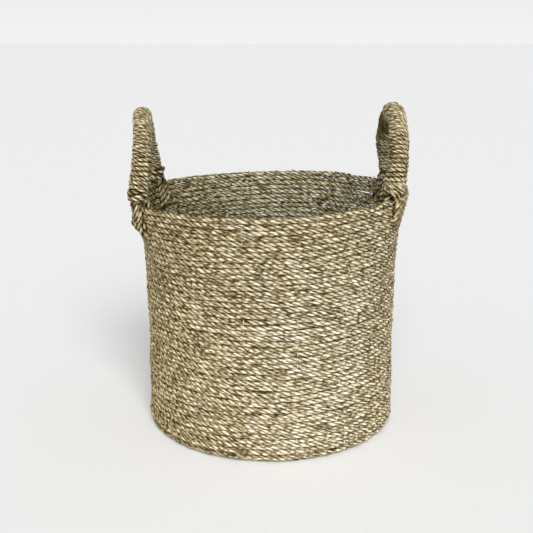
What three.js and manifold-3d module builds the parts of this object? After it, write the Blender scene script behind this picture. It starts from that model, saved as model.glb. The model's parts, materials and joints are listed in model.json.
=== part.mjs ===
// A round seagrass storage basket with two upright rope handles.
//
// One long twisted seagrass rope is coiled flat into the base, turned up through a rounded heel and wound
// up into the wall, and a last turn makes the rim. Binding threads sewn through the coils hold them
// together. Each handle is a bundle of cords bent into an arch and wound with a finer cord, which ends in a
// hitch at each leg. Below the hitch the bundle parts over the rim: its cords run down both faces of the
// wall and pass through it.
//
// Millimetres, +Z up. The origin is the centre of the base's underside. The handles stand over -X and +X.

import * as THREE from 'three';
import { mergeVertices } from 'three/addons/utils/BufferGeometryUtils.js';
import Module from 'manifold-3d';

// The coiled rope.
const wallHeight = 300;
const courses = 45; // turns of rope from the floor to the top of the rim
const ropePitch = wallHeight / courses;
const ropeDiameter = 6.6;
const ropeRadius = ropeDiameter / 2;

// The wall's outer face, from heel to rim.
const waistRadius = 158.2;
const waistZ = 115;
const heelFlare = 3.4;
const rimFlare = 9.1;
const heelRadius = 10;

// Lifting by the handles has drawn the rim outwards on both sides.
const sidePull = 6;
const sidePullSpread = THREE.MathUtils.degToRad(38);
const pullDepth = 60; // how far below the rim the wall is still drawn out

// Handles: a core bundle in a wound sleeve, bent into a round arch on two straight legs.
const legAngle = THREE.MathUtils.degToRad(26); // of each leg, from the X axis
const archRise = 97.5; // from the hinge line to the middle of the arch's top
const coreRadius = 9.2;
const sleeveRadius = 12.5;
const hitchRadius = 13.8;
const hitchFrom = 7.2; // the hitch's height range on the leg, from the hinge line
const hitchTo = 21;
const saddleRadius = 14.2; // the hollow under each leg, round the hinge line, that clears the rim
const anchorCourses = 5.5; // depth below the rim at which the anchor cords pass through the wall
const handles = [
  { name: 'left', side: -1 },
  { name: 'right', side: 1 },
];

// Anchor cords, three to a leg, each a narrow loop round the top of the wall.
const cordDiameter = 6.4;
const cordsPerLeg = 3;
const cordSpacing = 6.9;

// Binding threads.
const threadCount = 16;
const threadWidth = 1.5;
const threadStart = 40; // distance from the middle of the base

const clearance = 0.35; // between touching pieces
const boreClearance = 0.3; // added beside the anchor cords, so that their hollows miss the wall's faces
const turnSegments = 48;
const rimZ = wallHeight - ropeRadius; // middle of the rim's rope, and height of the hinge lines
const wallTop = wallHeight - ropeDiameter - clearance;

const materials = {
  rope: new THREE.MeshStandardMaterial({ color: 0xb5a57d, roughness: 0.8, metalness: 0 }),
  rim: new THREE.MeshStandardMaterial({ color: 0xbfae85, roughness: 0.8, metalness: 0 }),
  wrap: new THREE.MeshStandardMaterial({ color: 0xab9a70, roughness: 0.75, metalness: 0 }),
  core: new THREE.MeshStandardMaterial({ color: 0x8f7c50, roughness: 0.9, metalness: 0 }),
  thread: new THREE.MeshStandardMaterial({ color: 0xcdbf98, roughness: 0.85, metalness: 0 }),
};

const wasm = await Module();
wasm.setup();
const basket = new THREE.Group();

// ---- Solids -------------------------------------------------------------------------------------------

function toSolid(geometry) {
  const bare = geometry.clone();
  bare.deleteAttribute('normal');
  bare.deleteAttribute('uv');
  const merged = mergeVertices(bare, 1e-4);
  return new wasm.Manifold(
    new wasm.Mesh({
      numProp: 3,
      vertProperties: merged.attributes.position.array,
      triVerts: new Uint32Array(merged.index.array),
    }),
  );
}

function toGeometry(solid) {
  const { vertProperties, triVerts } = solid.getMesh();
  return new THREE.BufferGeometry()
    .setAttribute('position', new THREE.BufferAttribute(vertProperties, 3))
    .setIndex(new THREE.BufferAttribute(triVerts, 1));
}

function cut(solid, cutters) {
  return cutters.reduce((left, cutter) => left.subtract(cutter), solid);
}

function add(name, geometry, material) {
  const mesh = new THREE.Mesh(geometry, material);
  mesh.name = name;
  basket.add(mesh);
}

// ---- Shape of the wall ----------------------------------------------------------------------------------

function outerRadius(z) {
  const below = Math.max(0, waistZ - z) / waistZ;
  const above = Math.max(0, z - waistZ) / (wallHeight - waistZ);
  return waistRadius + heelFlare * below ** 2 + rimFlare * above ** 2;
}

// How far the wall is drawn out at this angle and height.
function pull(angle, z) {
  const fromSide = Math.min(Math.abs(angle), Math.PI - Math.abs(angle));
  const height = THREE.MathUtils.smoothstep(z, wallHeight - pullDepth, wallHeight);
  return sidePull * Math.exp(-((fromSide / sidePullSpread) ** 4)) * height;
}

// The radius of the middle of the rope.
function ropeLine(angle, z) {
  return outerRadius(z) - ropeRadius + pull(angle, z);
}

function around(angle, radius, z) {
  return new THREE.Vector3(radius * Math.cos(angle), radius * Math.sin(angle), z);
}

function drawOut(geometry) {
  const position = geometry.attributes.position;
  const point = new THREE.Vector3();
  for (let i = 0; i < position.count; i++) {
    point.fromBufferAttribute(position, i);
    const radius = Math.hypot(point.x, point.y);
    const angle = Math.atan2(point.y, point.x);
    point.copy(around(angle, radius + pull(angle, point.z), point.z));
    position.setXYZ(i, point.x, point.y, point.z);
  }
  return geometry;
}

function turned(profile) {
  return new THREE.LatheGeometry(profile, turnSegments).rotateX(Math.PI / 2);
}

// ---- Sweeps -----------------------------------------------------------------------------------------------

function polygon(radius, sides) {
  const points = [];
  for (let i = 0; i < sides; i++) {
    const a = ((i + 0.5) / sides) * 2 * Math.PI;
    points.push(new THREE.Vector2(radius * Math.cos(a), radius * Math.sin(a)));
  }
  return points;
}

function sweep(path, radius, sides, steps, boreRadius = 0) {
  const section = new THREE.Shape(polygon(radius, sides));
  if (boreRadius > 0) section.holes.push(new THREE.Path(polygon(boreRadius, sides)));
  return new THREE.ExtrudeGeometry(section, { extrudePath: path, steps });
}

// ---- Coiled rope ------------------------------------------------------------------------------------------

const heelCentre = outerRadius(heelRadius) - heelRadius;

function baseCoil(slots) {
  const radius = heelCentre - clearance;
  const disc = new THREE.CylinderGeometry(radius, radius, ropeDiameter, turnSegments);
  disc.rotateX(Math.PI / 2).translate(0, 0, ropeRadius);
  return toGeometry(cut(toSolid(disc), slots));
}

// A quarter-round heel, then the wall, as one closed outline of even thickness.
function wallCoil(slots, anchorHoles) {
  const heelSteps = 2;
  const levels = 4;
  const outline = [];
  const heelArc = (radius, i) => {
    const a = ((i / heelSteps) * Math.PI) / 2;
    return new THREE.Vector2(heelCentre + radius * Math.sin(a), heelRadius - radius * Math.cos(a));
  };
  const level = (inset, i) => {
    const z = heelRadius + ((wallTop - heelRadius) * i) / levels;
    return new THREE.Vector2(outerRadius(z) - inset, z);
  };
  for (let i = 0; i < heelSteps; i++) outline.push(heelArc(heelRadius, i));
  for (let i = 0; i <= levels; i++) outline.push(level(0, i));
  for (let i = levels; i >= 0; i--) outline.push(level(ropeDiameter, i));
  for (let i = heelSteps - 1; i >= 0; i--) outline.push(heelArc(heelRadius - ropeDiameter, i));
  outline.push(outline[0].clone());
  return toGeometry(cut(toSolid(drawOut(turned(outline))), [...slots, ...anchorHoles]));
}

function rimCoil(slots, anchorHoles) {
  const middle = outerRadius(wallHeight) - ropeRadius;
  const outline = polygon(ropeRadius, 8).map((p) => new THREE.Vector2(middle + p.x, rimZ + p.y));
  outline.push(outline[0].clone());
  return toGeometry(cut(toSolid(drawOut(turned(outline))), [...slots, ...anchorHoles]));
}

// ---- Binding threads --------------------------------------------------------------------------------------

// From the base, through the heel and up the middle of the wall, into the rim.
function threadPath(angle, overrun) {
  const levels = 4;
  const heelBend = (heelRadius - ropeRadius) * Math.SQRT1_2;
  const points = [
    around(angle, threadStart - overrun, ropeRadius),
    around(angle, heelCentre, ropeRadius),
    around(angle, heelCentre + heelBend, heelRadius - heelBend),
  ];
  for (let i = 0; i <= levels; i++) {
    const z = heelRadius + ((rimZ + overrun - heelRadius) * i) / levels;
    points.push(around(angle, ropeLine(angle, z), z));
  }
  return points;
}

// A square bar through the points, mitred at each, in the upright plane at this angle.
function bar(points, angle, width) {
  const half = width / 2;
  const side = new THREE.Vector3(-Math.sin(angle), Math.cos(angle), 0);
  const corners = [];
  points.forEach((point, i) => {
    const before = points[Math.max(0, i - 1)];
    const after = points[Math.min(points.length - 1, i + 1)];
    const along = after.clone().sub(before).normalize();
    const across = new THREE.Vector3().crossVectors(along, side);
    for (const [u, v] of [[-1, -1], [1, -1], [1, 1], [-1, 1]]) {
      corners.push(point.clone().addScaledVector(side, u * half).addScaledVector(across, v * half));
    }
  });
  const triangles = [0, 2, 1, 0, 3, 2];
  for (let ring = 0; ring < points.length - 1; ring++) {
    for (let k = 0; k < 4; k++) {
      const a = ring * 4 + k;
      const b = ring * 4 + ((k + 1) % 4);
      triangles.push(a, b, b + 4, a, b + 4, a + 4);
    }
  }
  const end = (points.length - 1) * 4;
  triangles.push(end, end + 1, end + 2, end, end + 2, end + 3);
  return new THREE.BufferGeometry().setFromPoints(corners).setIndex(triangles);
}

const threadAngles = Array.from({ length: threadCount }, (_, i) => {
  const angle = ((i + 0.5) / threadCount) * 2 * Math.PI;
  return angle > Math.PI ? angle - 2 * Math.PI : angle;
});

// ---- Anchor cords -----------------------------------------------------------------------------------------

// Down the outside of the wall from the middle of the rim, through the wall and up the inside.
function anchorPath(angle) {
  const offset = (ropeDiameter + cordDiameter) / 2 + clearance + boreClearance;
  const bendZ = wallHeight - anchorCourses * ropePitch + offset;
  const points = [];
  const place = (out, z) => points.push(around(angle, ropeLine(angle, z) + out, z));
  for (const share of [1, 0.66, 0.33]) place(offset, bendZ + (rimZ - bendZ) * share);
  for (let i = 0; i <= 4; i++) {
    const a = (i / 4) * Math.PI;
    place(offset * Math.cos(a), bendZ - offset * Math.sin(a));
  }
  for (const share of [0.33, 0.66, 1]) place(-offset, bendZ + (rimZ - bendZ) * share);
  return new THREE.CatmullRomCurve3(points);
}

function legAngles({ side }) {
  const back = side > 0 ? legAngle : Math.PI - legAngle;
  return { front: -back, back };
}

// ---- Handles ----------------------------------------------------------------------------------------------

// Two straight legs and a half circle, upright over the line through the legs' feet.
class HandleArch extends THREE.Curve {
  constructor({ side }, from) {
    super();
    const foot = around(legAngle, ropeLine(legAngle, rimZ), rimZ);
    this.hingeX = side * foot.x;
    this.halfSpan = foot.y;
    this.legLength = archRise - this.halfSpan - from;
  }

  getPoint(t) {
    const quarter = (Math.PI / 2) * this.halfSpan;
    const travel = (quarter + this.legLength) * (2 * t - 1); // from the arch's top, front to back
    const turn = THREE.MathUtils.clamp(travel, -quarter, quarter) / this.halfSpan;
    const drop = this.halfSpan * (1 - Math.cos(turn)) + Math.max(0, Math.abs(travel) - quarter);
    return new THREE.Vector3(this.hingeX, this.halfSpan * Math.sin(turn), rimZ + archRise - drop);
  }
}

function addHandle({ name, side }) {
  const coreArch = new HandleArch({ side }, hitchFrom);
  const sleeveArch = new HandleArch({ side }, hitchTo + clearance);
  const bore = coreRadius + clearance;
  const saddle = new THREE.CylinderGeometry(saddleRadius, saddleRadius, 4 * coreArch.halfSpan, 24);
  saddle.translate(coreArch.hingeX, 0, rimZ);
  const fit = (geometry) => toGeometry(toSolid(geometry).subtract(toSolid(saddle)));
  add(`${name}_handle_core`, fit(sweep(coreArch, coreRadius, 10, 28)), materials.core);
  add(`${name}_handle_wrap`, sweep(sleeveArch, sleeveRadius, 10, 24, bore), materials.wrap);
  for (const [leg, across] of [['front', -coreArch.halfSpan], ['back', coreArch.halfSpan]]) {
    const onLeg = (rise) => new THREE.Vector3(coreArch.hingeX, across, rimZ + rise);
    const path = new THREE.LineCurve3(onLeg(hitchFrom), onLeg(hitchTo));
    add(`${name}_${leg}_wrap_hitch`, fit(sweep(path, hitchRadius, 10, 1, bore)), materials.wrap);
  }
}

// ---- Assembly ---------------------------------------------------------------------------------------------

const anchors = handles.flatMap((handle) =>
  Object.entries(legAngles(handle)).flatMap(([leg, angle]) =>
    Array.from({ length: cordsPerLeg }, (_, i) => {
      const shift = ((i - (cordsPerLeg - 1) / 2) * cordSpacing) / ropeLine(angle, rimZ);
      return { name: `${handle.name}_${leg}_anchor_cord_${i + 1}`, path: anchorPath(angle + shift) };
    }),
  ),
);
const cord = (path, radius) => sweep(path, radius, 6, 14);
const anchorHoles = anchors.map(({ path }) => toSolid(cord(path, cordDiameter / 2 + clearance)));
const slots = threadAngles.map((angle) =>
  toSolid(bar(threadPath(angle, 0.5), angle, threadWidth + 2 * clearance)),
);

add('base_coil', baseCoil(slots), materials.rope);
add('wall_coil', wallCoil(slots, anchorHoles), materials.rope);
add('rim_coil', rimCoil(slots, anchorHoles), materials.rim);
threadAngles.forEach((angle, i) => {
  const name = `binding_thread_${String(i + 1).padStart(2, '0')}`;
  add(name, bar(threadPath(angle, 0), angle, threadWidth), materials.thread);
});
anchors.forEach(({ name, path }) => add(name, cord(path, cordDiameter / 2), materials.core));
handles.forEach(addHandle);

export default basket;
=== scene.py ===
"""A round seagrass storage basket with two upright rope handles.

The whole basket is wound from real twisted cord: one long rope coiled into the base, turned up through
the heel and wound up into the wall and rim, a finer cord wound round each handle, and anchor cords that
loop round the top of the wall. Metres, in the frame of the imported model.
"""

import json
import math
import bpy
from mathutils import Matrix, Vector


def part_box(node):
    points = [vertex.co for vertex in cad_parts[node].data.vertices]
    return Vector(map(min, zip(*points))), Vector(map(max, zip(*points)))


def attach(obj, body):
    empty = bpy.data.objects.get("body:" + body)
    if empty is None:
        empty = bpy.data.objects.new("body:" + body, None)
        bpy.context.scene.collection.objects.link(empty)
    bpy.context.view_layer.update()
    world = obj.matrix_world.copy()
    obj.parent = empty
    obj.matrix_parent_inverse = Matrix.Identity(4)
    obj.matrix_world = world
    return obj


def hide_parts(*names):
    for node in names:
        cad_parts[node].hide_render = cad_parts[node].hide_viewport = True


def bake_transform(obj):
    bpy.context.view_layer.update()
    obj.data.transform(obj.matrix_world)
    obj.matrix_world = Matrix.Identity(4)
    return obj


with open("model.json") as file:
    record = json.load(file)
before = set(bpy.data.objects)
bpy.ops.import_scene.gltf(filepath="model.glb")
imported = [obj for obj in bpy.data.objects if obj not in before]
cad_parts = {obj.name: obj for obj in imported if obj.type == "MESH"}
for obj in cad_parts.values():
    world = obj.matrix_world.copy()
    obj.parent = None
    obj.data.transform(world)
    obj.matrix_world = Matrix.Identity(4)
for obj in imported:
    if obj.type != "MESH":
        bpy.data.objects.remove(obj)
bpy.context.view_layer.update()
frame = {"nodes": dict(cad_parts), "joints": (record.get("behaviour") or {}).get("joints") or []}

from types import SimpleNamespace

import bpy
import numpy as np
from mathutils import Vector

# ---- Sizes, in metres ----------------------------------------------------------------------------------

MM = 0.001
WALL_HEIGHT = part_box("rim_coil")[1].z
COURSES = 45
PITCH = WALL_HEIGHT / COURSES
ROPE_RADIUS = 3.75 * MM
ROPE_PLIES = 4
ROPE_LAY = 36 * MM  # length of one full twist
BASE_EYE = 2.2 * MM  # the rope's start, from the middle of the base

# The wall's outer face, from heel to rim.
WAIST_RADIUS = 158.2 * MM
WAIST_Z = 115 * MM
HEEL_FLARE = 3.4 * MM
RIM_FLARE = 9.1 * MM
HEEL_RADIUS = 10 * MM
SIDE_PULL = {"left": 9 * MM, "right": 5 * MM}  # how far each handle has drawn the rim outwards
PULL_SPREAD = math.radians(38)
PULL_DEPTH = 60 * MM
BACK_PULL = 7 * MM  # and the right handle's back leg a little further

# Handles.
SIGN = {"left": -1, "right": 1}
ENDS = {"front": -1, "back": 1}
HINGE_Z = frame["joints"][0]["pos_m"][2]
LEG_ANGLE = math.radians(26)
FRONT_TURN = {"left": 0, "right": math.radians(4)}  # how much further round the front leg stands
ARCH_RISE = {"left": 95.7 * MM, "right": 94.7 * MM}
APEX_LEAN = {"left": 4 * MM, "right": 2.5 * MM}  # outwards, at the top of the arch
FOOT_SHIFT = {  # outwards, of each leg's foot
    "left": {"front": 3.5 * MM, "back": 3 * MM},
    "right": {"front": -1 * MM, "back": 2.5 * MM},
}
BOW = {  # outwards, of each leg above its foot
    "left": {"front": -7 * MM, "back": 5 * MM},
    "right": {"front": 2.5 * MM, "back": -8 * MM},
}
WRAP_RADIUS = 9.8 * MM  # to the middle of the wound cord
WRAP_CORD = 2.75 * MM  # radius, as for every cord
WRAP_LAY = 16 * MM
WRAP_PITCH = 5.0 * MM
WRAP_SLIMMING = 0.08  # share by which the winding is slimmer at the arch's top
HITCH_LOW = 6 * MM  # above the leg's foot
HITCH_HIGH = 21 * MM
HITCH_DIP = 5 * MM  # of the lowest turn, where it hangs down beside the rim
HITCH_RADIUS = 10.7 * MM
HITCH_CORD = 2.6 * MM
HITCH_TURNS = 3.6
HITCH_LAID = 2.5  # turns laid up the leg before the cord crosses back down
HITCH_CROSSING = 0.8  # turns that the crossing takes
CORE_CORD = 2.9 * MM
CORE_CORDS = 7
CORE_SPREAD = 1.95  # from the middle cord to the six round it, against a cord's radius
CORE_TWIST = 0.15  # length over which the core turns by one radian
CORE_TUCK = 4 * MM  # how far the core reaches down into the hitch

# Anchor cords, each a loop.
CORDS_PER_LEG = 3
ANCHOR_CORD = 3.1 * MM
ANCHOR_LAY = 14.5 * MM
ANCHOR_DEPTH = {"left": 4.8 * PITCH, "right": 4 * PITCH}
ANCHOR_SPACING = 6.9 * MM
ANCHOR_BULGE = {"left": 5 * MM, "right": 0.5 * MM}

# Binding threads.
THREADS = 16
THREAD_RADIUS = 0.5 * MM
THREAD_FLATNESS = 1.5  # width over thickness
THREAD_SWING = 0.9  # in and out of the rope's line, against the rope's radius
THREAD_START = 40 * MM  # from the middle of the base

RINGS_PER_LAY = 11  # along each finer cord
HANDLE_FIBRES = 16  # stray ones
WALL_FIBRES = 200

rng = np.random.default_rng(879)


# ---- Smooth randomness ---------------------------------------------------------------------------------


def wander(s, spacing, amount):
    """Smooth random values at distances s, eased from one random target to the next every spacing."""
    t = (s - s.min()) / spacing
    knots = rng.normal(0, amount, int(t.max()) + 3)
    i = t.astype(int)
    f = t - i
    f = f * f * (3 - 2 * f)
    return knots[i] * (1 - f) + knots[i + 1] * f


def waves(count, amount, around, up):
    """Sine waves that close round the basket, as a function of angle and height."""
    n = rng.integers(around[0], around[1], count)
    m = rng.uniform(-up, up, count)
    phase = rng.uniform(0, 2 * math.pi, count)
    size = rng.normal(0, amount / math.sqrt(count / 2), count)

    def at(angle, z):
        angle, z = np.broadcast_arrays(angle, z)
        return sum(a * np.sin(k * angle + q * z + p) for a, k, q, p in zip(size, n, m, phase))

    return at


def smoothstep(x, low, high):
    t = np.clip((x - low) / (high - low), 0, 1)
    return t * t * (3 - 2 * t)


# ---- Shape of the wall ---------------------------------------------------------------------------------

TILT_ACROSS = 3.4 * MM  # the rim is this much higher on the right, and lower on the left
TILT_BACK = 1.9 * MM  # half of how much higher it is at the back than at the front
BUNCHING_LOW = 1.05  # how unevenly the courses are spaced low down
BUNCHING_LESS = 0.4  # how much less so near the top
BUNCHING_AT_PULL = 1.6  # and how much more so where a handle has drawn the rim out
lumps = waves(14, 0.8 * MM, (1, 9), 60)
sway = waves(10, 0.9 * MM, (1, 6), 25)
bunching = waves(30, 0.28 * MM, (3, 22), 420)


def outer_radius(z):
    below = np.maximum(0, WAIST_Z - z) / WAIST_Z
    above = np.maximum(0, z - WAIST_Z) / (WALL_HEIGHT - WAIST_Z)
    return WAIST_RADIUS + HEEL_FLARE * below**2 + RIM_FLARE * above**2


def pull(angle, z):
    """How far the wall is drawn out near the handles."""
    turn = np.abs(np.arctan2(np.sin(angle), np.cos(angle)))
    amount = np.where(turn > math.pi / 2, SIDE_PULL["left"], SIDE_PULL["right"])
    from_side = np.minimum(turn, math.pi - turn)
    from_leg = np.abs(np.arctan2(np.sin(angle - LEG_ANGLE), np.cos(angle - LEG_ANGLE)))
    height = smoothstep(z, WALL_HEIGHT - PULL_DEPTH, WALL_HEIGHT)
    wide = amount * np.exp(-((from_side / PULL_SPREAD) ** 4))
    return (wide + BACK_PULL * np.exp(-((from_leg / LEG_ANGLE) ** 2))) * height


def wall_radius(angle, z):
    """Radius of the middle of the wall's rope."""
    uneven = smoothstep(z, 5 * MM, 50 * MM) * lumps(angle, z)
    return outer_radius(z) - ROPE_RADIUS + pull(angle, z) + uneven


def rim_tilt(angle):
    return TILT_ACROSS * np.cos(angle) + TILT_BACK * (1 + np.sin(angle))


def uneven_height(angle, z):
    """The courses aren't quite level, nor quite evenly spaced."""
    loose = BUNCHING_LOW - BUNCHING_LESS * smoothstep(z, 0.5 * WALL_HEIGHT, 0.8 * WALL_HEIGHT)
    loose = loose + BUNCHING_AT_PULL * pull(angle, z) / SIDE_PULL["left"]
    uneven = smoothstep(z, 20 * MM, 60 * MM) * (sway(angle, z) + loose * bunching(angle, z))
    return uneven + rim_tilt(angle) * smoothstep(z, 20 * MM, WALL_HEIGHT)


def cylindrical(angle, radius, z):
    return np.stack([radius * np.cos(angle), radius * np.sin(angle), z + 0 * angle], -1)


# ---- Paths ---------------------------------------------------------------------------------------------


def unit(v):
    return v / np.linalg.norm(v, axis=-1, keepdims=True)


def resample(path, step):
    """The same path in even steps, and the distances. Columns after the first three ride along."""
    gaps = np.linalg.norm(np.diff(path[:, :3], axis=0), axis=1)
    along = np.concatenate([[0], np.cumsum(gaps)])
    s = np.linspace(0, along[-1], max(4, int(along[-1] / step) + 1))
    return np.stack([np.interp(s, along, column) for column in path.T], 1), s


def spline(points, step):
    """A smooth path through a few points."""
    points = np.array(points, float)
    ends = [2 * points[0] - points[1], *points, 2 * points[-1] - points[-2]]
    fine = []
    for a, b, c, d in zip(ends, ends[1:], ends[2:], ends[3:]):
        for t in np.linspace(0, 1, 12, endpoint=False):
            quadratic = 2 * a - 5 * b + 4 * c - d
            cubic = 3 * b - a - 3 * c + d
            fine.append(b + 0.5 * ((c - a) * t + quadratic * t**2 + cubic * t**3))
    fine.append(points[-1])
    return resample(np.array(fine), step)


def frames(path, outward):
    """For each point: the outward direction square to the path, and the third direction."""
    tangent = unit(np.gradient(path, axis=0))
    out = unit(outward - (outward * tangent).sum(1, keepdims=True) * tangent)
    return out, np.cross(tangent, out)


# ---- Cord ----------------------------------------------------------------------------------------------


BRINK_SHADE = 0.38  # how much more painted shade a ply gets where its cord meets the next


class Strands:
    """Collects tubes with their fibre coordinates, and makes one mesh object of them."""

    def __init__(self):
        self.parts = []
        self.count = 0

    def tube(self, centre, side, lift, half_side, half_lift, s, core=None, brink=None, sides=9):
        """A tube of elliptical section, spanned by side and lift. Lift points away from the cord's middle,
        and the seam of the fibre coordinates is on the opposite side. On a ply, core is the cord's middle
        line, and brink points to where the cord meets its neighbour, over the cord's radius."""
        turn = np.linspace(0, 2 * math.pi, sides + 1)[None, :, None]
        across = -np.sin(turn) * half_side[:, None, None] * side[:, None, :]
        up = -np.cos(turn) * half_lift[:, None, None] * lift[:, None, :]
        points = centre[:, None, :] + across + up
        points[:, :, 2] = np.maximum(points[:, :, 2], 0)
        rows = len(s)
        ring = np.arange(rows)[:, None] * sides
        k = np.arange(sides)[None, :]
        following = (k + 1) % sides
        quads = np.stack([ring[:-1] + k, ring[:-1] + following, ring[1:] + following, ring[1:] + k], -1)
        u = np.broadcast_to(s[:, None], (rows, sides + 1))
        v = np.broadcast_to(turn[:, :, 0] / (2 * math.pi), (rows, sides + 1))
        uv = np.stack([u, v], -1)
        wall = np.stack([uv[:-1, :-1], uv[:-1, 1:], uv[1:, 1:], uv[1:, :-1]], 2).reshape(-1, 2)
        # crest: 1 on the side of a ply facing out of its cord, 0 facing the cord's middle, lower where the
        # cord meets the next; the materials paint shade where it is low
        crest = np.tile((1 - np.cos(turn[0, :sides, 0])) / 2, (rows, 1))
        if core is not None:
            to_brink = ((points[:, :sides] - core[:, None]) * brink[:, None]).sum(2)
            crest *= 1 - BRINK_SHADE * smoothstep(np.abs(to_brink), 0.5, 1.0)
        caps = np.concatenate([k[0, ::-1], ring[-1] + k[0]])
        self.parts.append(
            SimpleNamespace(
                points=points[:, :sides].reshape(-1, 3),
                corners=np.concatenate([quads.ravel(), caps]) + self.count,
                faces=np.concatenate([np.full(quads.size // 4, 4), [sides, sides]]),
                uv=np.concatenate([wall, uv[0, sides - 1 :: -1], uv[-1, :sides]]),
                crest=crest.ravel(),
                ply=np.full(rows * sides, rng.uniform(0, 50)),
                rings=rows - 1,
                sides=sides,
            )
        )
        self.count += rows * sides

    def atlas(self):
        """Texture coordinates with no overlaps: the tubes unrolled and laid in lanes side by side. The caps
        on their ends take no room of their own."""
        width = max(p.sides for p in self.parts) + 1
        rings = sum(p.rings for p in self.parts)
        lane_length = math.ceil(math.sqrt(rings * width))
        lanes = math.ceil(rings / lane_length)
        corners = []
        first = 0
        for p in self.parts:
            index = np.arange(first, first + p.rings)
            lane = (index // lane_length)[:, None, None]
            row = (index % lane_length)[:, None, None] + np.array([0, 0, 1, 1])
            column = np.arange(p.sides)[None, :, None] + np.array([0, 1, 1, 0]) + 0.5
            u = (lane + column / width) / lanes + 0 * row
            v = row / (lane_length + 1) + 0 * u
            wall = np.stack([u, v], -1)
            caps = [wall[0, ::-1, 0], wall[-1, :, 3]]
            corners.append(np.concatenate([wall.reshape(-1, 2), *caps]))
            first += p.rings
        return np.concatenate(corners)

    def make(self, name, material):
        mesh = bpy.data.meshes.new(name)
        points = np.concatenate([p.points for p in self.parts])
        corners = np.concatenate([p.corners for p in self.parts])
        faces = np.concatenate([p.faces for p in self.parts])
        mesh.vertices.add(len(points))
        mesh.vertices.foreach_set("co", points.astype(np.float32).ravel())
        mesh.loops.add(len(corners))
        mesh.loops.foreach_set("vertex_index", corners.astype(np.int32))
        mesh.polygons.add(len(faces))
        mesh.polygons.foreach_set("loop_start", (np.cumsum(faces) - faces).astype(np.int32))
        mesh.polygons.foreach_set("use_smooth", faces == 4)
        mesh.update(calc_edges=True)
        fibre = np.concatenate([p.uv for p in self.parts])
        for layer, coordinates in (("fibre", fibre), ("OFBake", self.atlas())):
            mesh.uv_layers.new(name=layer)
            mesh.uv_layers[layer].data.foreach_set("uv", coordinates.astype(np.float32).ravel())
        for key in ("crest", "ply"):
            values = np.concatenate([getattr(p, key) for p in self.parts]).astype(np.float32)
            mesh.attributes.new(key, "FLOAT", "POINT").data.foreach_set("value", values)
        mesh.materials.append(material)
        piece = bpy.data.objects.new(name, mesh)
        bpy.context.scene.collection.objects.link(piece)
        return piece


PLY_OFFSET = {2: 0.5, 3: 0.53, 4: 0.56}  # of each ply from the cord's middle, against the cord's radius
PLY_WIDTH = {2: 0.64, 3: 0.54, 4: 0.5}  # half the ply's width, against the cord's radius


def twist_up(path, s, outward, radius, lay, plies=2, taper=0.0, loose=1.0):
    """Plies wound round each other along a path, ready for Strands.tube."""
    out, up = frames(path, outward)
    phase = rng.uniform(0, 2 * math.pi) + 2 * math.pi * s / lay + wander(s, 3 * lay, 0.5 * loose)
    ends = np.ones(len(s))
    if taper > 0:
        ends = np.sqrt(np.clip(np.minimum(s, s[-1] - s) / taper, 0.0004, 1))
    wound = []
    for k in range(plies):
        angle = phase + 2 * math.pi * k / plies
        lift = np.cos(angle)[:, None] * out + np.sin(angle)[:, None] * up
        swell = 1 + wander(s, 6 * MM, 0.16 * loose)
        offset = radius * (PLY_OFFSET[plies] + wander(s, 7 * MM, 0.09 * loose)) * ends
        centre = path + offset[:, None] * lift
        bend = unit(np.gradient(centre, axis=0))
        side = unit(np.cross(bend, lift))
        half_lift = radius * (1 - PLY_OFFSET[plies]) * swell * ends
        half_side = radius * PLY_WIDTH[plies] * swell * ends
        wound.append((centre, side, np.cross(side, bend), half_side, half_lift, s, path, up / radius))
    return wound


def add_cord(strands, path, s, outward, radius, lay, **options):
    """One whole cord into strands."""
    for tube in twist_up(path, s, outward, radius, lay, **options):
        strands.tube(*tube)


def settle(piece, body, slot, *nodes):
    """What the piece rides on, and which CAD nodes it stands for."""
    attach(piece, body)
    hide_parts(*nodes)


# ---- Materials -----------------------------------------------------------------------------------------


class Nodes:
    """A short way to write a node tree."""

    def __init__(self, name):
        self.material = bpy.data.materials.new(name)
        self.material.use_nodes = True
        self.tree = self.material.node_tree
        self.shader = next(n for n in self.tree.nodes if n.type == "BSDF_PRINCIPLED")

    def plug(self, socket, value):
        if isinstance(value, bpy.types.NodeSocket):
            self.tree.links.new(value, socket)
        else:
            socket.default_value = value

    def add(self, kind, links=None, **settings):
        node = self.tree.nodes.new(kind)
        for key, value in settings.items():
            setattr(node, key, value)
        for socket, value in (links or {}).items():
            self.plug(node.inputs[socket], value)
        return node

    def maths(self, operation, a, b):
        return self.add("ShaderNodeMath", {0: a, 1: b}, operation=operation).outputs[0]

    def remap(self, value, low, high, to_low, to_high):
        sockets = {"Value": value, "From Min": low, "From Max": high, "To Min": to_low, "To Max": to_high}
        return self.add("ShaderNodeMapRange", sockets).outputs[0]

    def noise(self, vector, scale, detail=2.0, rough=0.5):
        sockets = {"Vector": vector, "Scale": scale, "Detail": detail, "Roughness": rough}
        return self.add("ShaderNodeTexNoise", sockets, noise_dimensions="3D").outputs[0]

    def grey(self, value):
        return self.add("ShaderNodeCombineColor", {0: value, 1: value, 2: value}).outputs[0]

    def ramp(self, value, stops):
        node = self.add("ShaderNodeValToRGB", {"Fac": value})
        while len(node.color_ramp.elements) < len(stops):
            node.color_ramp.elements.new(0.5)
        for element, (position, colour) in zip(node.color_ramp.elements, stops):
            element.position = position
            element.color = (*colour, 1)
        return node.outputs[0]

    def mix(self, blend, factor, a, b):
        node = self.add("ShaderNodeMix", data_type="RGBA", blend_type=blend, clamp_factor=True)
        self.plug(node.inputs[0], factor)
        self.plug(node.inputs[6], a)
        self.plug(node.inputs[7], b)
        return node.outputs[2]


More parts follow.
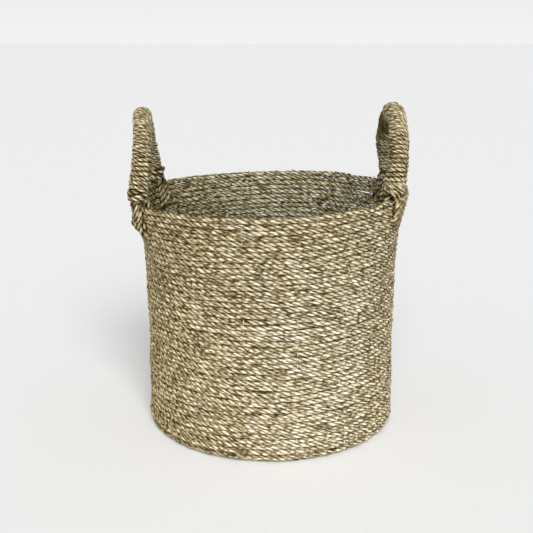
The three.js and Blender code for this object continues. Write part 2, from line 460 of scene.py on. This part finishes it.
CREAM = (0.96, 0.91, 0.73)
STRAW = (0.70, 0.615, 0.40)
SAGE = (0.44, 0.38, 0.22)
UMBER = (0.21, 0.135, 0.052)
RUST = (0.12, 0.05, 0.015)
# painted shade, taken between the plies and where one cord meets the next
VALLEY_SHADE = (0.085, 0.045, 0.008, 1)
STAIN = (0.30, 0.14, 0.015, 1)
AGED_AND_SIDE_SHADE = (0.88, 0.81, 0.63, 1)  # browner: ageing on handles and top, painted shade and ageing on the sides
GREYED = (0.88, 0.92, 0.92, 1)  # painted shade: the inside is greyer and darker, and darker still lower down
FIBRE_TONES = 0.36
FIBRE_TWIST = 16 * MM  # along a ply, for one turn of its fibres round it
AGED_AND_SHADED_TONE = 0.05  # how much darker a blade's tone is where it is aged, and where shade is painted on the sides

# Fades for Nodes.remap: from, to, and the value at each. Places are in metres.
# The left side is aged browner and painted with shade; the right side is painted with shade.
LEFT_AGED_AND_SHADED = (-0.17, 0.03, 1.0, 0.0)
RIGHT_SIDE_SHADE = (0.09, 0.17, 0.0, 0.7)
AGED_TOP = (0.15, 0.3, 0.0, 0.4)
STAIN_FADE = (10 * MM, 30 * MM, 0.85, 0.0)
STREAK_SHADE = (0.3, 0.7, 0.62, 1.28)
STREAK_ROUGHNESS = (0.3, 0.7, 0.42, 0.68)
# painted light and shade with height
HEIGHT_SHADE = (0.0, 0.3, 1.14, 0.96)
INSIDE_SHADE = (0.19, 0.29, 0.64, 1.0)
INSIDE_FACING = (0.0, -0.05, 0.0, 1.0)


def seagrass(name, stops, blade=6 * MM, patch=0.08, depth=0.97, aged_and_shaded=None, stain=None):
    """Twisted dry seagrass: blades of several tones, fine fibre streaks, painted shade between the plies.
    """
    n = Nodes(name)
    uv = n.add("ShaderNodeUVMap", uv_map="fibre").outputs[0]
    parts = n.add("ShaderNodeSeparateXYZ", {0: uv}).outputs
    ply = n.add("ShaderNodeAttribute", attribute_name="ply").outputs["Fac"]
    crest = n.add("ShaderNodeAttribute", attribute_name="crest").outputs["Fac"]
    in_space = n.add("ShaderNodeTexCoord").outputs["Object"]
    across, _, height = n.add("ShaderNodeSeparateXYZ", {0: in_space}).outputs
    normal = n.add("ShaderNodeNewGeometry").outputs["Normal"]
    level = {0: in_space, 1: (1, 1, 0)}
    from_axis = n.add("ShaderNodeVectorMath", level, operation="MULTIPLY").outputs[0]
    towards = {0: from_axis, 1: normal}
    facing = n.add("ShaderNodeVectorMath", towards, operation="DOT_PRODUCT").outputs["Value"]

    def along(stretch, turns):
        """Coordinates that run with the fibres: a unit for each stretch along, and turns round the ply."""
        round_ply = n.maths("ADD", parts[1], n.maths("DIVIDE", parts[0], FIBRE_TWIST))
        units = n.maths("DIVIDE", parts[0], stretch)
        sockets = {0: units, 1: n.maths("MULTIPLY", round_ply, turns), 2: ply}
        return n.add("ShaderNodeCombineXYZ", sockets).outputs[0]

    blades = n.noise(along(blade, 2.4), 1.0, 1.0)
    streaks = n.noise(along(9 * MM, 9.0), 1.0, 3.0, 0.65)
    folds = n.noise(along(6 * MM, 3.0), 1.0, 1.0)
    patches = n.noise(in_space, 11.0, 2.0)
    tone = n.maths("ADD", blades, n.maths("MULTIPLY", n.maths("SUBTRACT", patches, 0.5), patch))
    tone = n.maths("ADD", tone, n.maths("MULTIPLY", n.maths("SUBTRACT", streaks, 0.5), FIBRE_TONES))
    # Unless given: painted shade with some ageing on the basket's sides, and ageing at its top.
    if aged_and_shaded is None:
        aged_and_shaded = n.maths("MAXIMUM", n.remap(across, *LEFT_AGED_AND_SHADED), n.remap(across, *RIGHT_SIDE_SHADE))
        aged_and_shaded = n.maths("MAXIMUM", aged_and_shaded, n.remap(height, *AGED_TOP))
    tone = n.maths("SUBTRACT", tone, n.maths("MULTIPLY", aged_and_shaded, AGED_AND_SHADED_TONE))
    colour = n.ramp(tone, stops)
    if stain:
        ends = {0: in_space, 1: stain}
        away = n.add("ShaderNodeVectorMath", ends, operation="DISTANCE").outputs["Value"]
        colour = n.mix("MIX", n.remap(away, *STAIN_FADE), colour, STAIN)
    colour = n.mix("MULTIPLY", 1.0, colour, n.grey(n.remap(streaks, *STREAK_SHADE)))
    colour = n.mix("MULTIPLY", aged_and_shaded, colour, AGED_AND_SIDE_SHADE)
    # painted light and shade: brighter low down, darker towards the top
    colour = n.mix("MULTIPLY", 1.0, colour, n.grey(n.remap(height, *HEIGHT_SHADE)))
    # painted shade on the inside, deeper lower down
    inside = n.remap(facing, *INSIDE_FACING)
    colour = n.mix("MULTIPLY", inside, colour, GREYED)
    colour = n.mix("MULTIPLY", inside, colour, n.grey(n.remap(height, *INSIDE_SHADE)))
    # painted shade: darker between the plies and where cords meet, as strong as depth says
    colour = n.mix("MULTIPLY", n.remap(crest, 0.45, 1.0, depth, 0.0), colour, VALLEY_SHADE)
    n.plug(n.shader.inputs["Base Color"], colour)
    n.plug(n.shader.inputs["Roughness"], n.remap(streaks, *STREAK_ROUGHNESS))
    fine = n.add("ShaderNodeBump", {"Strength": 0.9, "Distance": 0.7 * MM, "Height": streaks})
    coarse = {"Strength": 1.0, "Distance": 2.2 * MM, "Height": folds, "Normal": fine.outputs[0]}
    n.plug(n.shader.inputs["Normal"], n.add("ShaderNodeBump", coarse).outputs[0])
    n.shader.inputs["Specular IOR Level"].default_value = 0.15
    return n.material


STAIN_PLACE = (143 * MM, 35 * MM, 378 * MM)  # inside the right handle, near its top


def tones(shift):
    """The blades' tones from darkest to palest. A positive shift makes more of them dark."""
    steps = [(0.22, RUST), (0.31, UMBER), (0.41, SAGE), (0.51, STRAW), (0.65, CREAM)]
    return [(position + shift, colour) for position, colour in steps]


rope_material = seagrass("seagrass_rope", tones(0))
rim_material = seagrass("seagrass_rim", tones(-0.02))
wrap_material = {
    "left": seagrass("seagrass_wrap", tones(-0.08), aged_and_shaded=0.85),
    "right": seagrass("seagrass_wrap_stained", tones(-0.08), aged_and_shaded=0.85, stain=STAIN_PLACE),
}
cord_material = seagrass("seagrass_cord", tones(-0.02), aged_and_shaded=0.8)
thread_material = seagrass("binding_thread", tones(-0.04), blade=8 * MM, depth=0.8)


# ---- The coiled rope: base, heel, wall and rim ---------------------------------------------------------

HEEL_CENTRE = float(outer_radius(HEEL_RADIUS)) - HEEL_RADIUS
HEEL_LINE = HEEL_RADIUS - ROPE_RADIUS
HEEL_ARC = HEEL_LINE * math.pi / 2
RIM_Z = WALL_HEIGHT - ROPE_RADIUS
PROFILE = HEEL_CENTRE + HEEL_ARC + RIM_Z - HEEL_RADIUS  # from the base's middle to the rim, across the rows
END_ANGLE = math.radians(28)  # the rope's end is tucked in by the right handle's back leg
ROPE_STEP = ROPE_LAY / 17
ROPE_SIDES = 8
WALL_PIECES = 8
POINTS_PER_TURN = 400


def rope_place(angle, q):
    """The rope's middle at distance q from the base's middle, along the floor, heel and wall."""
    bend = np.clip((q - HEEL_CENTRE) / HEEL_LINE, 0, math.pi / 2)
    z = HEEL_RADIUS - HEEL_LINE * np.cos(bend) + np.maximum(0, q - HEEL_CENTRE - HEEL_ARC)
    on_base = np.minimum(q, HEEL_CENTRE) + HEEL_LINE * np.sin(bend)
    radius = np.where(z < HEEL_RADIUS, on_base, wall_radius(angle, z))
    return cylindrical(angle, radius, z + uneven_height(angle, z))


def floorward(path):
    """The direction out of the basket's outer face: down under the base, and outwards on the wall."""
    wall = smoothstep(path[:, 2], 0.5 * HEEL_RADIUS, HEEL_RADIUS)[:, None]
    return unit(path * [1, 1, 0]) * wall - np.array([0, 0, 1.0]) * (1 - wall)


def coil():
    """The whole rope's path, from the middle of the base to the end of the rim."""
    turns = np.linspace(PROFILE / PITCH, 0, int(PROFILE / PITCH * POINTS_PER_TURN))
    q = np.maximum(PROFILE - PITCH * turns, BASE_EYE)
    path, s = resample(rope_place(END_ANGLE - 2 * math.pi * turns, q), ROPE_STEP)
    on_wall = smoothstep(path[:, 2], 8 * MM, 20 * MM)
    path[:, 2] += (wander(s, 45 * MM, 0.2 * MM) + wander(s, 11 * MM, 0.22 * MM)) * on_wall
    path += floorward(path) * (wander(s, 13 * MM, 0.3 * MM) * on_wall)[:, None]
    return path, s, floorward(path)


def wind_basket():
    """The rope, cut into the base, the wall in a few pieces, and the rim."""
    path, s, outward = coil()
    plies = twist_up(path, s, outward, ROPE_RADIUS, ROPE_LAY, plies=ROPE_PLIES, taper=30 * MM)
    wall_start = int(np.argmax(path[:, 2] > 0.75 * HEEL_RADIUS))
    rim_start = int(np.argmax(s > s[-1] - 2 * math.pi * float(wall_radius(0.0, RIM_Z))))
    cuts = [0, *np.linspace(wall_start, rim_start, WALL_PIECES + 1).astype(int), len(s) - 1]
    pieces = [("base_rope", "base_coil", "rope", rope_material)]
    pieces += [(f"wall_rope_{i + 1}", "wall_coil", "rope", rope_material) for i in range(WALL_PIECES)]
    pieces += [("rim_rope", "rim_coil", "rim_rope", rim_material)]
    for (name, node, slot, material), first, last in zip(pieces, cuts, cuts[1:]):
        strands = Strands()
        for tube in plies:
            strands.tube(*[part[first : last + 1] for part in tube], sides=ROPE_SIDES)
        settle(strands.make(name, material), "basket", slot, node)


# ---- Binding threads -----------------------------------------------------------------------------------


def sew():
    """Each thread runs over one course outside and the next one inside, out along the base and up."""
    strands = Strands()
    for i in range(THREADS):
        angle = 2 * math.pi * (i + 0.5) / THREADS
        q = np.arange(THREAD_START, PROFILE, PITCH / 10)
        turn = ((END_ANGLE - angle) / (2 * math.pi)) % 1
        course = (PROFILE - q) / PITCH - turn
        path = rope_place(np.full(len(q), angle), q)
        out = floorward(path)
        path += out * ((ROPE_RADIUS * THREAD_SWING) * np.cos(math.pi * course))[:, None]
        path, s = resample(path, 0.9 * MM)
        side = np.broadcast_to([-math.sin(angle), math.cos(angle), 0.0], path.shape)
        thick = np.full(len(s), THREAD_RADIUS)
        lift = -frames(path, side)[1]
        strands.tube(path, side, lift, THREAD_FLATNESS * thick, thick, s, sides=6)
    nodes = [n for n in frame["nodes"] if n.startswith("binding_thread")]
    settle(strands.make("binding_threads", thread_material), "basket", "binding_thread", *nodes)


# ---- Handles -------------------------------------------------------------------------------------------


def leg(side, end):
    """Where a leg stands over the rim: its foot, and the directions outwards and along the rim."""
    turned = LEG_ANGLE + (FRONT_TURN[side] if end == "front" else 0)
    angle = ENDS[end] * (turned if side == "right" else math.pi - turned)
    radius = float(wall_radius(angle, HINGE_Z))
    out = np.array([math.cos(angle), math.sin(angle), 0.0])
    foot = out * radius + [0, 0, HINGE_Z + float(uneven_height(angle, HINGE_Z))]
    foot[0] += SIGN[side] * FOOT_SHIFT[side][end]
    return foot, out, np.array([-out[1], out[0], 0.0]), angle


def arch(side, low, step):
    """The middle line of a handle, from low on its front leg over to low on its back leg."""
    front, back = leg(side, "front")[0], leg(side, "back")[0]
    span = (back[1] - front[1]) / 2
    straight = ARCH_RISE[side] - span
    turn = np.linspace(-math.pi / 2, math.pi / 2, 120)
    across = np.concatenate([[-span], span * np.sin(turn), [span]])
    rise = np.concatenate([[low], straight + span * np.cos(turn), [low]])
    share = (across / span + 1) / 2
    bow = np.interp(share, [0, 0.15, 0.85, 1], np.repeat([BOW[side]["front"], BOW[side]["back"]], 2))
    bow = bow * smoothstep(rise, 5 * MM, 55 * MM)
    x = front[0] * (1 - share) + back[0] * share
    x += SIGN[side] * (bow + APEX_LEAN[side] * rise / ARCH_RISE[side])
    y = (front[1] + back[1]) / 2 + across
    foot_z = front[2] * (1 - share) + back[2] * share
    return resample(np.stack([x, y, foot_z + rise], 1), step)


def wind_round(path, s, radius, turns_before):
    """A helix round a path, and its outward directions. turns_before counts the turns up to each point."""
    a, b = frames(path, np.broadcast_to([1.0, 0, 0], path.shape))
    fine = np.linspace(s[0], s[-1], int(abs(turns_before[-1] - turns_before[0]) * 48))

    def at(values):
        return np.stack([np.interp(fine, s, column) for column in values.T], 1)

    turn = 2 * math.pi * np.interp(fine, s, turns_before)[:, None]
    out = np.cos(turn) * at(a) + np.sin(turn) * at(b)
    return np.concatenate([at(path) + out * np.interp(fine, s, radius)[:, None], out], 1)


def wrap_handle(side):
    """The finer cord wound close round the whole arch."""
    path, s = arch(side, HITCH_HIGH - WRAP_CORD, 1 * MM)
    turns = s / WRAP_PITCH + wander(s, 20 * MM, 0.05)
    top = HINGE_Z + ARCH_RISE[side]
    slimmer = 1 - WRAP_SLIMMING * smoothstep(path[:, 2], HINGE_Z + 0.3 * ARCH_RISE[side], top)
    radius = WRAP_RADIUS * slimmer + wander(s, 6 * MM, 0.2 * MM) + wander(s, 30 * MM, 0.3 * MM)
    helix, along = resample(wind_round(path, s, radius, turns), WRAP_LAY / RINGS_PER_LAY)
    strands = Strands()
    made = {"plies": 3, "taper": 5 * MM, "loose": 1.5}
    add_cord(strands, helix[:, :3], along, helix[:, 3:], WRAP_CORD, WRAP_LAY, **made)
    piece = strands.make(f"{side}_handle_winding", wrap_material[side])
    settle(piece, f"{side}_handle", "handle_wrap", f"{side}_handle_wrap")


def bundle_core(side):
    """The cords inside the winding: one in the middle and the others round it."""
    path, s = arch(side, HITCH_HIGH - CORE_TUCK, 3 * MM)
    a, b = frames(path, np.broadcast_to([1.0, 0, 0], path.shape))
    strands = Strands()
    for i in range(CORE_CORDS):
        turn = 2 * math.pi * i / (CORE_CORDS - 1) + s / CORE_TWIST
        reach = 0 if i == CORE_CORDS - 1 else CORE_SPREAD * CORE_CORD
        centre = path + reach * (np.cos(turn)[:, None] * a + np.sin(turn)[:, None] * b)
        thick = CORE_CORD * np.sqrt(np.clip(np.minimum(s, s[-1] - s) / (4 * MM), 0.001, 1))
        strands.tube(centre, b, a, thick, thick, s)
    piece = strands.make(f"{side}_handle_bundle", cord_material)
    settle(piece, f"{side}_handle", "handle_cord", f"{side}_handle_core")


def flex(piece):
    """Bakes the placement of the cords at a leg's foot into their mesh."""
    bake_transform(piece)


def hitch(side, end):
    """The winding's end: turns of thicker cord at the foot of a leg, then one that crosses over them."""
    foot, radial = leg(side, end)[:2]
    turns = np.linspace(0, HITCH_TURNS, 240)
    rise = np.where(
        turns < HITCH_LAID,
        HITCH_LOW + (HITCH_HIGH - HITCH_LOW) * turns / HITCH_LAID,
        HITCH_HIGH + (HITCH_LOW - HITCH_HIGH) * smoothstep(turns, HITCH_LAID, HITCH_LAID + HITCH_CROSSING),
    )
    radius = HITCH_RADIUS + 0.2 * HITCH_CORD * smoothstep(turns, HITCH_LAID - 0.1, HITCH_LAID + 0.25)
    radius -= 1.7 * HITCH_CORD * smoothstep(turns, 3.1, HITCH_TURNS)
    radius -= HITCH_CORD * (1 - smoothstep(turns, 0, 0.25))
    angle = 2 * math.pi * (turns + 0.3 * ENDS[end])
    out = np.stack([np.cos(angle), np.sin(angle), 0 * angle], 1)
    rise -= HITCH_DIP * (out @ radial) ** 2 * (1 - smoothstep(rise, HITCH_LOW, HITCH_HIGH))
    centre = foot + np.stack([0 * rise, 0 * rise, rise], 1)
    route = np.concatenate([centre + out * radius[:, None], out], 1)
    helix, along = resample(route, WRAP_LAY / RINGS_PER_LAY)
    strands = Strands()
    add_cord(strands, helix[:, :3], along, helix[:, 3:], HITCH_CORD, WRAP_LAY, taper=8 * MM)
    piece = strands.make(f"{side}_{end}_hitch_cord", wrap_material[side])
    flex(piece)
    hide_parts(f"{side}_{end}_wrap_hitch")


def anchor(side, end):
    """Cords out of the leg's foot, down the outside of the wall, through it and up the inside. Under each,
    a short one goes down the wall, and another stands on the rim."""
    foot, out, along_rim, angle = leg(side, end)
    shift_out = np.array([SIGN[side] * FOOT_SHIFT[side][end], 0, 0])
    beside = ROPE_RADIUS + ANCHOR_CORD + 0.3 * MM
    bulge = ANCHOR_BULGE[side]
    strands = Strands()

    def lay_cord(route, shift):
        """A cord through points given as reach out of the rim's line, spread along it, and rise."""
        points = []
        for reach, spread, rise in route:
            z = HINGE_Z + rise
            wall = float(wall_radius(angle, min(z, HINGE_Z))) - float(wall_radius(angle, HINGE_Z))
            jitter = rng.normal(0, 0.35 * MM, 3)
            across = along_rim * shift * spread * ANCHOR_SPACING
            back_on_wall = shift_out * (1 - smoothstep(rise, -4 * MM, 12 * MM))
            points.append(foot - back_on_wall + out * (reach + wall) + across + [0, 0, rise] + jitter)
        path, s = spline(points, ANCHOR_LAY / RINGS_PER_LAY)
        facing = np.broadcast_to(along_rim, path.shape)
        add_cord(strands, path, s, facing, ANCHOR_CORD, ANCHOR_LAY, taper=4 * MM)

    for i in range(CORDS_PER_LEG):
        shift = i - CORDS_PER_LEG // 2
        depth = ANCHOR_DEPTH[side] + rng.normal(0, 1.2 * MM)
        route = [
            (0.45 * beside, 0.55, HITCH_HIGH),
            (0.75 * beside, 0.70, HITCH_LOW),
            (beside + 0.2 * bulge, 0.9, 0),
            (beside + 0.5 * bulge, 1.0, -0.35 * depth),
            (beside + bulge, 1.0, -0.8 * depth),
            (0.75 * beside + 0.3 * bulge, 0.9, -1.02 * depth),
            (-0.6 * beside, 0.9, -0.97 * depth),
            (-beside, 1.0, -0.72 * depth),
            (-beside, 1.0, -0.35 * depth),
            (-beside - 0.6 * MM, 0.95, 0),
            (-0.75 * beside, 0.70, HITCH_LOW),
            (-0.45 * beside, 0.55, HITCH_HIGH),
        ]
        under = [
            (0.4 * beside, 0.6, HITCH_LOW),
            (0.85 * beside, 0.9, 0),
            (0.9 * beside, 1.0, -0.35 * depth),
            (0.85 * beside, 1.0, -0.7 * depth),
            (0.1 * beside, 0.9, -0.9 * depth),
        ]
        standing = [(0, 0.5, HITCH_HIGH), (0, 0.65, 0.6 * HITCH_HIGH), (0, 0.8, 5 * MM)]
        for points in (route, under, standing):
            lay_cord(points, shift)
    piece = strands.make(f"{side}_{end}_anchor_cords", cord_material)
    flex(piece)
    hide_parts(*[f"{side}_{end}_anchor_cord_{i + 1}" for i in range(3)])


# ---- Stray fibres --------------------------------------------------------------------------------------


def stray(strands, start, heading, lift, length):
    """A blade's loose end: a thin flat ribbon that leaves the surface."""
    t = np.linspace(0, 1, 9)[:, None]
    curl = rng.normal(0, 0.25) * length
    across = np.cross(heading, lift)
    raised = lift * length * rng.uniform(0.05, 0.3) * t**1.6
    path = start + heading * length * t + raised + across * curl * t**2
    s = length * t[:, 0]
    out, up = frames(path, np.broadcast_to(lift, path.shape))
    width = rng.uniform(0.28, 0.5) * MM * np.clip(1.15 - t[:, 0] ** 3, 0.15, 1)
    strands.tube(path, up, out, width, 0.35 * width, s, sides=4)


def fray_wall(count):
    """Loose blade ends all over the wall, a quarter of them on the inside."""
    strands = Strands()
    for _ in range(count):
        angle = rng.uniform(0, 2 * math.pi)
        z = rng.uniform(0.02, 0.96) * WALL_HEIGHT
        inside = rng.random() < 0.25
        out = np.array([math.cos(angle), math.sin(angle), 0.0]) * (-1 if inside else 1)
        radius = float(wall_radius(angle, z)) * np.sign(1 - 2 * inside)
        along_rope = np.array([-math.sin(angle), math.cos(angle), 0.0]) * rng.choice([-1, 1])
        slope = rng.normal(0, 0.35)
        heading = unit(along_rope + np.array([0, 0, slope]))
        start = out * (radius + 0.8 * ROPE_RADIUS) + [0, 0, z]
        stray(strands, start, heading, out, rng.uniform(5, 17) * MM)
    piece = strands.make("stray_fibres", thread_material)
    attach(piece, "basket")


def fray_handle(side, count):
    """Loose blade ends along the winding."""
    strands = Strands()
    path, s = arch(side, HITCH_HIGH, 1 * MM)
    a, b = frames(path, np.broadcast_to([1.0, 0, 0], path.shape))
    for i in rng.integers(0, len(s), count):
        turn = rng.uniform(0, 2 * math.pi)
        out = math.cos(turn) * a[i] + math.sin(turn) * b[i]
        heading = unit(math.cos(turn) * b[i] - math.sin(turn) * a[i] + rng.normal(0, 0.3, 3))
        start = path[i] + out * (WRAP_RADIUS + 0.6 * WRAP_CORD)
        stray(strands, start, heading, out, rng.uniform(3, 7) * MM)
    piece = strands.make(f"{side}_handle_stray_fibres", thread_material)
    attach(piece, f"{side}_handle")


# ---- Light, floor and camera ---------------------------------------------------------------------------

CAMERA_DISTANCE = 3.681 * WALL_HEIGHT
CAMERA_HEIGHT = 1.655 * WALL_HEIGHT
CAMERA_PITCH = 0.2635  # radians, downwards
CAMERA_PAN = 0.0050
LENS_MM = 59.55
SENSOR_MM = 36
SUN_STRENGTH = 3.5
SUN_SPREAD = math.radians(34)
SUN_ELEVATION = math.radians(38)
SUN_AZIMUTH = math.radians(7)  # round to the right of the front
HORIZON = 0.89  # brightness of the dome at the horizon
DOME = 0.33  # and from DOME_START upwards
DOME_START = 0.45  # upward part of the direction looked in
FLOOR_HALF = 30.0
FLOOR_TONE = (0.82, 0.82, 0.82, 1)


def add_camera():
    camera = bpy.data.objects.new("camera", bpy.data.cameras.new("camera"))
    camera.data.lens = LENS_MM
    camera.data.sensor_width = SENSOR_MM
    camera.location = (0, -CAMERA_DISTANCE, CAMERA_HEIGHT)
    camera.rotation_euler = (math.pi / 2 - CAMERA_PITCH, 0, CAMERA_PAN)
    bpy.context.scene.collection.objects.link(camera)
    bpy.context.scene.camera = camera


def add_floor():
    mesh = bpy.data.meshes.new("floor")
    half = FLOOR_HALF
    corners = [(-half, -half, 0), (half, -half, 0), (half, half, 0), (-half, half, 0)]
    mesh.from_pydata(corners, [], [(0, 1, 2, 3)])
    floor = bpy.data.objects.new("floor", mesh)
    bpy.context.scene.collection.objects.link(floor)
    paper = Nodes("pale_floor")
    paper.shader.inputs["Base Color"].default_value = FLOOR_TONE
    paper.shader.inputs["Roughness"].default_value = 0.9
    mesh.materials.append(paper.material)


def add_light():
    """One large soft light in front, a little to the right, under a dome that is palest at the horizon."""
    sun = bpy.data.objects.new("sun", bpy.data.lights.new("sun", "SUN"))
    sun.data.energy = SUN_STRENGTH
    sun.data.angle = SUN_SPREAD
    sun.rotation_euler = (math.pi / 2 - SUN_ELEVATION, 0, SUN_AZIMUTH)
    bpy.context.scene.collection.objects.link(sun)
    world = bpy.data.worlds.new("studio")
    world.use_nodes = True
    tree = world.node_tree
    aim = tree.nodes.new("ShaderNodeTexCoord")
    split = tree.nodes.new("ShaderNodeSeparateXYZ")
    fade = tree.nodes.new("ShaderNodeMapRange")
    fade.inputs["From Max"].default_value = DOME_START
    fade.inputs["To Min"].default_value = HORIZON
    fade.inputs["To Max"].default_value = DOME
    tree.links.new(aim.outputs["Generated"], split.inputs[0])
    tree.links.new(split.outputs[2], fade.inputs[0])
    tree.links.new(fade.outputs[0], tree.nodes["Background"].inputs[1])
    tree.nodes["Background"].inputs[0].default_value = (1, 1, 1, 1)
    bpy.context.scene.world = world
    bpy.context.scene.view_settings.view_transform = "Standard"


wind_basket()
sew()
for handle_side in SIGN:
    wrap_handle(handle_side)
    bundle_core(handle_side)
    for leg_end in ENDS:
        hitch(handle_side, leg_end)
        anchor(handle_side, leg_end)
    fray_handle(handle_side, HANDLE_FIBRES)
fray_wall(WALL_FIBRES)
add_camera()
add_floor()
add_light()
